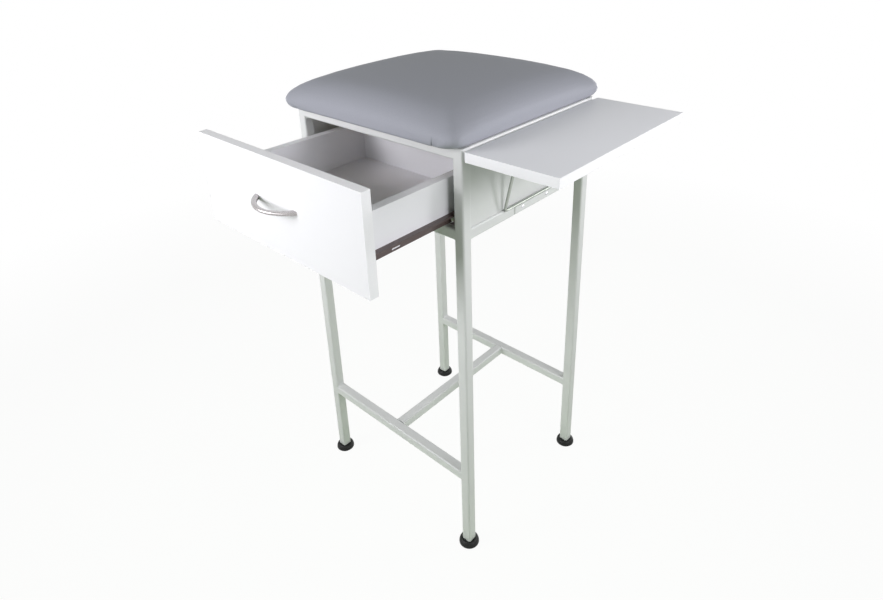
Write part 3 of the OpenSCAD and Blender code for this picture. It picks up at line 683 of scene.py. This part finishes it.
def rounded_square(side, radius):
    """Corners of a square with round corners, about its middle."""
    inner = side / 2 - radius
    points = []
    for quarter, (x, y) in enumerate(((1, 1), (-1, 1), (-1, -1), (1, -1))):
        for i in range(ROUND_STEPS + 1):
            turn = math.pi / 2 * (quarter + i / ROUND_STEPS)
            arc = radius * Vector((math.cos(turn), math.sin(turn)))
            points.append(inner * Vector((x, y)) + arc)
    return points


def prism(name, outline, low, high):
    """A straight prism over an outline."""
    form = bmesh.new()
    rings = [[form.verts.new((p.x, p.y, z)) for p in outline] for z in (low, high)]
    form.faces.new(list(reversed(rings[0])))
    form.faces.new(rings[1])
    for i in range(len(outline)):
        j = (i + 1) % len(outline)
        form.faces.new((rings[0][i], rings[0][j], rings[1][j], rings[1][i]))
    mesh = bpy.data.meshes.new(name)
    form.to_mesh(mesh)
    form.free()
    return mesh


def rail_ends(name):
    """The middles of a rail's two end faces, and which way each looks."""
    low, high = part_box(name)
    middle = (low + high) / 2
    axis, aim = longest_axis(low, high)
    return [(middle + aim * way * (high - low)[axis] / 2, aim * way) for way in (-1, 1)]


rail_low, rail_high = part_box("top_rail_front")
weld_outline = rounded_square(rail_high.z - rail_low.z - 2 * WELD_GROUND, TUBE_ROUND)
weld_form = prism("ground_weld", weld_outline, -WELD_BACK, TUBE_ROUND)
weld_places = [end for name in RAILS for end in rail_ends(name)]
weld_growth = spread_growth("welds_on_points", FINISHES["frame_paint"], spin=0.0)
ground_welds = spread("ground_welds", weld_form, weld_places, weld_growth)
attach(ground_welds, "frame")
print("ground welds:", len(weld_places))

# %% [markdown]
# The pull is a cast bow. Seen from above it is a crescent, and from the front it is a
# little taller where it meets the board than at its middle. Two arcs give its outer and
# inner edge, each by its half length and its reach, and a section with round edges is laid
# between them at each step along the bow, so that the edges catch the light as a polished
# casting's do.

# %% Bow handle
BOW_OUTER = (56 * MM, 30 * MM)
BOW_INNER = (43 * MM, 22 * MM)
BOW_MIDDLE_H = 5.8 * MM
BOW_END_H = 7.6 * MM
BOW_STEPS = 56
BOW_SIDES = 32
BOW_SQUARENESS = 2.9


def on_bow(half, reach, share):
    """A point of the arc of that half length and reach, a share of the way to its end."""
    radius = (half**2 + reach**2) / (2 * reach)
    turn = share * math.asin(half / radius)
    return Vector((radius * math.sin(turn), radius - reach - radius * math.cos(turn), 0))


def rounded_wave(value):
    """A cosine or sine pushed outwards, so that a circle becomes a rounded square."""
    return math.copysign(abs(value) ** (2 / BOW_SQUARENESS), value)


def bow_mesh():
    low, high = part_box("handle")
    root = Vector(((low.x + high.x) / 2, high.y, (low.z + high.z) / 2))
    form = bmesh.new()
    turns = [math.tau * k / BOW_SIDES for k in range(BOW_SIDES)]
    section = [(rounded_wave(math.cos(turn)), rounded_wave(math.sin(turn))) for turn in turns]
    rings = []
    for i in range(BOW_STEPS + 1):
        share = 2 * i / BOW_STEPS - 1
        outer, inner = on_bow(*BOW_OUTER, share), on_bow(*BOW_INNER, share)
        middle, out = root + (outer + inner) / 2, (outer - inner) / 2
        up = Vector((0, 0, (BOW_MIDDLE_H + (BOW_END_H - BOW_MIDDLE_H) * abs(share) ** 3) / 2))
        rings.append([form.verts.new(middle + out * x + up * z) for x, z in section])
    for ring, after in zip(rings, rings[1:]):
        for k in range(BOW_SIDES):
            j = (k + 1) % BOW_SIDES
            form.faces.new((ring[k], ring[j], after[j], after[k]))
    form.faces.new(rings[0])
    form.faces.new(list(reversed(rings[-1])))
    bmesh.ops.recalc_face_normals(form, faces=form.faces)
    mesh = bpy.data.meshes.new("bow_handle")
    form.to_mesh(mesh)
    form.free()
    mesh.materials.append(FINISHES["handle_nickel"])
    return mesh


bow_handle = in_scene("bow_handle", bow_mesh())
shade_smooth(bow_handle, angle=50)
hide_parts("handle")
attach(bow_handle, "drawer")
print("handle faces:", len(bow_handle.data.polygons))

# %% [markdown]
# The stay is one steel rod bent at four places. Its route is a list of six corners, a
# Fillet Curve node rounds each corner to the bend's radius, and a circle is swept along
# the curve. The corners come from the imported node's own box, so the rod lies exactly where
# the frame has it.

# %% Wire stay
ROD_R = 2.5 * MM
BEND_R = 7 * MM
BEND_STEPS = 10
ROD_SIDES = 20
ARM_FROM_END = 18 * MM


def stay_corners():
    """The rod's route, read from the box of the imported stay: end, arm, foot, arm, end."""
    low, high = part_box("stay")
    top = (high.x - ROD_R, high.z - ROD_R)
    foot = (low.x + ROD_R, low.z + ROD_R)
    arms = (low.y + ARM_FROM_END, high.y - ARM_FROM_END)
    route = [(top, low.y), (top, arms[0]), (foot, arms[0])]
    route += [(foot, arms[1]), (top, arms[1]), (top, high.y)]
    return [Vector((x, y, z)) for (x, z), y in route]


def rod_growth():
    growth = Growth("rod_along_route", Rod_Radius=ROD_R, Bend_Radius=BEND_R)
    route = growth.node("GeometryNodeMeshToCurve", {"Mesh": growth.input("Geometry")})
    bent = growth.node(
        "GeometryNodeFilletCurve",
        {"Curve": route, "Radius": growth.input("Bend_Radius"), "Count": BEND_STEPS},
        mode="POLY",
    )
    section = growth.node(
        "GeometryNodeCurvePrimitiveCircle",
        {"Radius": growth.input("Rod_Radius"), "Resolution": ROD_SIDES},
    )
    swept = growth.node(
        "GeometryNodeCurveToMesh",
        {"Curve": bent, "Profile Curve": section, "Fill Caps": True},
    )
    growth.finish(swept, DARKER_ZINC)
    return growth


def make_stay():
    corners = stay_corners()
    start = bpy.data.meshes.new("stay_route")
    start.from_pydata(corners, [(i, i + 1) for i in range(len(corners) - 1)], [])
    piece = grow("wire_stay", start, rod_growth(), Rod_Radius=ROD_R, Bend_Radius=BEND_R)
    shade_smooth(piece, angle=50)
    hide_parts("stay")
    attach(piece, "stay")


make_stay()

# %% [markdown]
# The cushion is foam under a pulled vinyl cover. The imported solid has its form: the crown,
# the round shoulder, the tuck under the edge. Cloth simulation gives it the life of a real
# cover: a copy is remeshed to small even faces and blown up by air pressure. The foam holds
# the free cover a little, so that it stays smooth and still fits the frame. The underside
# and the hollow for the board are pinned, because they rest on wood.

# %% Cushion: a fine copy, slightly smaller
CUSHION_VOXEL = 5 * MM
CUSHION_SHRINK = 0.8 * MM
HELD_ABOVE_RAILS = 2 * MM
FREE_FROM_THERE = 10 * MM
HELD_ABOVE_BOARD = 4 * MM
cushion_low, cushion_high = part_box("cushion")
base_low, base_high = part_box("cushion_base")


def soft_share(place):
    """0 where the cushion is held by its board or the frame, rising to 1 on the free cover."""
    rise = (place.z - cushion_low.z - HELD_ABOVE_RAILS) / FREE_FROM_THERE
    inside = (base_low.x < place.x < base_high.x) and (base_low.y < place.y < base_high.y)
    if inside and place.z < base_high.z + HELD_ABOVE_BOARD:
        return 0.0
    return min(1.0, max(0.0, rise))


def cushion_copy():
    copy = welded("cushion")
    mesh = bpy.data.meshes.new("cushion_cover")
    copy.to_mesh(mesh)
    copy.free()
    piece = in_scene("cushion_cover", mesh)
    remesh = piece.modifiers.new("remesh", "REMESH")
    remesh.mode = "VOXEL"
    remesh.voxel_size = CUSHION_VOXEL
    apply_modifiers(piece)
    return piece


def apply_modifiers(piece):
    seen = piece.evaluated_get(bpy.context.evaluated_depsgraph_get())
    mesh = bpy.data.meshes.new_from_object(seen)
    piece.modifiers.clear()
    old = piece.data
    piece.data = mesh
    bpy.data.meshes.remove(old)


def swell(piece, depth):
    """Move the free cover along its normals, which are read first: each move would renew them."""
    normals = [vert.normal.copy() for vert in piece.data.vertices]
    for vert, normal in zip(piece.data.vertices, normals):
        vert.co += normal * depth * soft_share(vert.co)


cushion_cover = cushion_copy()
swell(cushion_cover, -CUSHION_SHRINK)
print("cushion faces before the simulation:", len(cushion_cover.data.polygons))

# %% [markdown]
# The simulation runs for a few frames. The cover wants to draw together like a balloon, so
# each point may leave its place by a few millimetres at most.

# %% Cushion: air pressure under the cover
COVER_FREE = 0.8
SIMULATED_FRAMES = 20
FARTHEST_STEP = 4.0 * MM
CLOTH_SETTINGS = {
    "quality": 6,
    "mass": 0.3,
    "tension_stiffness": 20,
    "bending_stiffness": 2,
    "use_pressure": True,
    "uniform_pressure_force": 15.0,
    "vertex_group_mass": "pins",
}


def blow_up(piece):
    """Cloth with pressure. soft_share says which points are pinned; foam holds the others."""
    start = [vert.co.copy() for vert in piece.data.vertices]
    pins = piece.vertex_groups.new(name="pins")
    for vert in piece.data.vertices:
        pins.add([vert.index], 1 - COVER_FREE * soft_share(vert.co), "REPLACE")
    cloth = piece.modifiers.new("cloth", "CLOTH")
    for name, value in CLOTH_SETTINGS.items():
        setattr(cloth.settings, name, value)
    cloth.settings.effector_weights.gravity = 0
    cloth.collision_settings.use_collision = False
    cloth.point_cache.frame_end = SIMULATED_FRAMES
    for count in range(1, SIMULATED_FRAMES + 1):
        bpy.context.scene.frame_set(count)
    seen = piece.evaluated_get(bpy.context.evaluated_depsgraph_get())
    moved = [vert.co.copy() for vert in seen.data.vertices]
    piece.modifiers.remove(cloth)
    bpy.context.scene.frame_set(1)
    farthest = 0.0
    for vert, old, new in zip(piece.data.vertices, start, moved):
        step = new - old
        farthest = max(farthest, step.length)
        if step.length > FARTHEST_STEP:
            step *= FARTHEST_STEP / step.length
        vert.co = old + step
    print("farthest the cover wanted to move, in millimetres:", round(farthest / MM, 2))


blow_up(cushion_cover)

# %% [markdown]
# The cover is pulled down to the frame and stapled under the board, so its lower edge runs
# straight and lies close to the rails. At the corners there is too much of it, and it is
# laid in small pleats beside the bend. Both are vertex moves by a formula, and the edge
# comes first.

# %% Cushion: the lower edge
EDGE_CORNER = 45 * MM
EDGE_INSET = 14 * MM
EDGE_TALL = 14 * MM
EDGE_OUT = 4.0 * MM
EDGE_STRAIGHT = 3.0 * MM
EDGE_BELOW = 4.0 * MM
cushion_middle = (cushion_low + cushion_high) / 2
edge_half = [(cushion_high - cushion_low)[i] / 2 - EDGE_INSET for i in range(2)]


def from_edge(place):
    """Distance outside the lower edge's outline, the way out, and the share along its side."""
    way = [math.copysign(1, place[i] - cushion_middle[i]) for i in range(2)]
    past = [abs(place[i] - cushion_middle[i]) - (edge_half[i] - EDGE_CORNER) for i in range(2)]
    if min(past) > 0:
        out = math.hypot(*past)
        return out - EDGE_CORNER, Vector((way[0] * past[0], way[1] * past[1], 0)) / out, 1.0
    side = 0 if past[0] > past[1] else 1
    aim = Vector([way[side] if i == side else 0.0 for i in range(3)])
    return past[side] - EDGE_CORNER, aim, 1 + past[1 - side] / (edge_half[1 - side] - EDGE_CORNER)


def straighten_edge(piece):
    """Push the lower edge out to the rails, and most at the middles of its sides."""
    for vert in piece.data.vertices:
        tall = (vert.co.z - cushion_low.z) / EDGE_TALL
        if tall < 1:
            out, aim, along = from_edge(vert.co)
            share = min(1.0, max(0.0, 1 + out / EDGE_BELOW)) * (1 - max(0.0, tall)) ** 2
            vert.co += aim * share * (EDGE_OUT + EDGE_STRAIGHT * (1 - along**2))


straighten_edge(cushion_cover)

# %% [markdown]
# One step of subdivision makes the cover's faces small enough for its grain and its edge.

# %% Cushion: finer faces
smoother = cushion_cover.modifiers.new("finer", "SUBSURF")
smoother.levels = 1
smoother.render_levels = 1
apply_modifiers(cushion_cover)

# %% [markdown]
# The pleats come last, on faces that are cut finer there, because a pleat is narrower than
# the cloth's mesh. Each is a place across the corner and a depth, and all fade upwards.

# %% Cushion: pleats at the corners
PLEATS = ((0.0, 3.2 * MM), (3.3 * MM, 2.2 * MM), (6.4 * MM, 1.8 * MM))
PLEAT_HALF = 1.3 * MM
PLEAT_TALL = 19 * MM
PLEAT_FROM_CORNER = 28.5 * MM
PLEAT_ZONE = 9 * MM
PLEAT_CUTS = 3
PLEAT_MARGIN = 4 * MM
PLEAT_INWARD = 60 * MM
PLEAT_FADE = 0.7
PLEAT_SEEN = 0.2 * MM


def pleat_place(place):
    """Where a point lies across its corner's pleats, its height and the way out, or nothing."""
    tall = place.z - cushion_low.z
    if tall > PLEAT_TALL + PLEAT_MARGIN:
        return None
    way = [math.copysign(1, place[i] - cushion_middle[i]) for i in range(2)]
    x, y = (abs(place[i] - cushion_middle[i]) - edge_half[i] for i in range(2))
    across = PLEAT_FROM_CORNER + (x - y) / math.sqrt(2)
    if abs(across - PLEATS[1][0]) > PLEAT_ZONE:
        return None
    if min(x, y) < -PLEAT_INWARD or max(x, y) < -EDGE_CORNER / 3:
        return None
    return across, tall, Vector((way[0], way[1], 0)).normalized()


def lay_pleats(piece):
    form = bmesh.new()
    form.from_mesh(piece.data)
    near = {vert for vert in form.verts if pleat_place(vert.co)}
    edges = [edge for edge in form.edges if edge.verts[0] in near and edge.verts[1] in near]
    bmesh.ops.subdivide_edges(form, edges=edges, cuts=PLEAT_CUTS, use_grid_fill=True)
    moved = 0
    for vert in form.verts:
        found = pleat_place(vert.co)
        if found:
            across, tall, outward = found
            depth = sum(
                deep * math.exp(-(((across - at) / PLEAT_HALF) ** 2)) for at, deep in PLEATS
            )
            fade = max(0.0, 1 - max(0.0, tall) / PLEAT_TALL) ** PLEAT_FADE
            vert.co -= outward * depth * fade
            moved += depth * fade > PLEAT_SEEN
    form.normal_update()
    form.to_mesh(piece.data)
    form.free()
    print("points moved by the pleats:", moved)


lay_pleats(cushion_cover)
shade_smooth(cushion_cover, angle=60)
cushion_cover.data.materials.clear()
cushion_cover.data.materials.append(FINISHES["cushion_vinyl"])
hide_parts("cushion")
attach(cushion_cover, "frame")
print("cushion faces:", len(cushion_cover.data.polygons))

# %% [markdown]
# The photograph has a pure white ground. A pale floor takes the table's soft shadow, and
# the camera sees most of its brightness as plain white, so a trace of the shadow stays but
# the paper is white. Farther out, where no shadow falls, the white is whole. The light that
# the floor throws back is a little green, as it was in the real room: it reaches the lower
# legs most, and makes the paint there sage green.

# %% Floor
SHADOW_REACH = 1.3
SHADOW_FADE = 0.8
NEAR_WHITE = 0.955
FLOOR_HALF = 30.0
FLOOR_GREEN = rgb(0.65, 0.80, 0.55)
RAYS_THAT_LOOK = ("Is Camera Ray", "Is Glossy Ray", "Is Transmission Ray")


def looks(tree):
    """1 on a ray that looks, straight, in a mirror or through glass, and 0 on one that lights."""
    path = tree.nodes.new("ShaderNodeLightPath")
    seen, mirrored, through = (Wire(tree, path.outputs[name]) for name in RAYS_THAT_LOOK)
    return seen + mirrored + through


def floor_finish():
    finish = Finish("floor", base_color=FLOOR_GREEN, roughness=0.9, specular_ior_level=0.1)
    out = finish.node("ShaderNodeVectorMath", {0: finish.places}, out="Value", operation="LENGTH")
    whole = finish.ramp(out, SHADOW_REACH, SHADOW_REACH + SHADOW_FADE)
    share = looks(finish.tree) * (whole * (1 - NEAR_WHITE) + NEAR_WHITE)
    plain = Wire(finish.tree, finish.shader.outputs[0])
    glow = finish.node("ShaderNodeEmission", {"Color": rgb(1, 1, 1), "Strength": 1.0})
    mixed = finish.node("ShaderNodeMixShader", {0: share, 1: plain, 2: glow})
    end = finish.tree.nodes["Material Output"]
    finish.tree.links.new(mixed.socket, end.inputs["Surface"])
    return finish.material


floor_mesh = bpy.data.meshes.new("floor")
floor_mesh.from_pydata(
    [(x, y, 0) for x, y in ((-1, -1), (1, -1), (1, 1), (-1, 1))], [], [(0, 1, 2, 3)]
)
floor_mesh.transform(Matrix.Scale(FLOOR_HALF, 4))
floor = in_scene("floor", floor_mesh)
floor_mesh.materials.append(floor_finish())
floor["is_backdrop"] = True

# %% [markdown]
# The table is lit at a plain level by soft lamps, nearly white with a trace of lavender.
# Most of the light comes low from the front left and from the right, so the cushion's top
# is darker than its slopes. A small lamp at the back right draws the stay's shadow on the
# side panel, and a low one behind shows the back. Grids narrow their light, so the lower
# legs get less of it. A weak, greenish light of the world fills the shade.

# %% World and lamps
WORLD_STRENGTH = 0.07
WORLD_GREEN = rgb(0.78, 1.0, 0.66)
LAMPS_AIM = Vector((0.0, 0.0, 0.85))
GRID_SPREAD = math.radians(105)
LAVENDER = (0.975, 0.955, 1.0)
LAMPS = {
    "front_left_high": ((-0.85, -1.45, 1.70), 0.9, 2.3),
    "front_left_low": ((-0.90, -1.60, 1.25), 0.9, 9.5),
    "front": ((0.1, -1.5, 1.15), 0.8, 1.5),
    "right_middle": ((2.0, -0.2, 1.2), 0.9, 4.3),
    "right_near": ((1.2, 0.1, 1.35), 0.6, 2.4),
    "back_right": ((1.3, 1.5, 1.2), 0.40, 4.8),
    "back_low": ((0.0, 2.2, 0.65), 0.9, 5.5),
}


def light_world():
    """Even light for the object, and plain white where the camera or a reflection looks past it."""
    world = bpy.data.worlds.new("studio")
    bpy.context.scene.world = world
    world.use_nodes = True
    tree = world.node_tree
    tree.nodes.clear()
    even = node(tree, "ShaderNodeBackground", {"Color": WORLD_GREEN, "Strength": WORLD_STRENGTH})
    white = node(tree, "ShaderNodeBackground", {"Color": rgb(1, 1, 1), "Strength": 1.0})
    mixed = node(tree, "ShaderNodeMixShader", {0: looks(tree), 1: even, 2: white})
    end = tree.nodes.new("ShaderNodeOutputWorld")
    tree.links.new(mixed.socket, end.inputs["Surface"])


def lamp(name, place, size, power):
    data = bpy.data.lights.new(name, "AREA")
    data.shape = "SQUARE"
    data.size = size
    data.energy = power
    data.color = LAVENDER
    data.spread = GRID_SPREAD
    made = bpy.data.objects.new(name, data)
    bpy.context.scene.collection.objects.link(made)
    made.location = place
    made.rotation_euler = (LAMPS_AIM - Vector(place)).to_track_quat("-Z", "Y").to_euler()


light_world()
for name, (place, size, power) in LAMPS.items():
    lamp(name, place, size, power)

# %% [markdown]
# The cushion's cover is cloth over foam, so it may stand a little over the imported box.

# %% Check the size
table_box = [[float(v) for v in corner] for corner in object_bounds()]
spans = [[box[1][i] - box[0][i] for i in range(3)] for box in (table_box, cad_box)]
growth_mm = [round((dressed - packed) / MM, 2) for dressed, packed in zip(*spans)]
print("the dressed table is larger than the packed one by, in millimetres:", growth_mm)
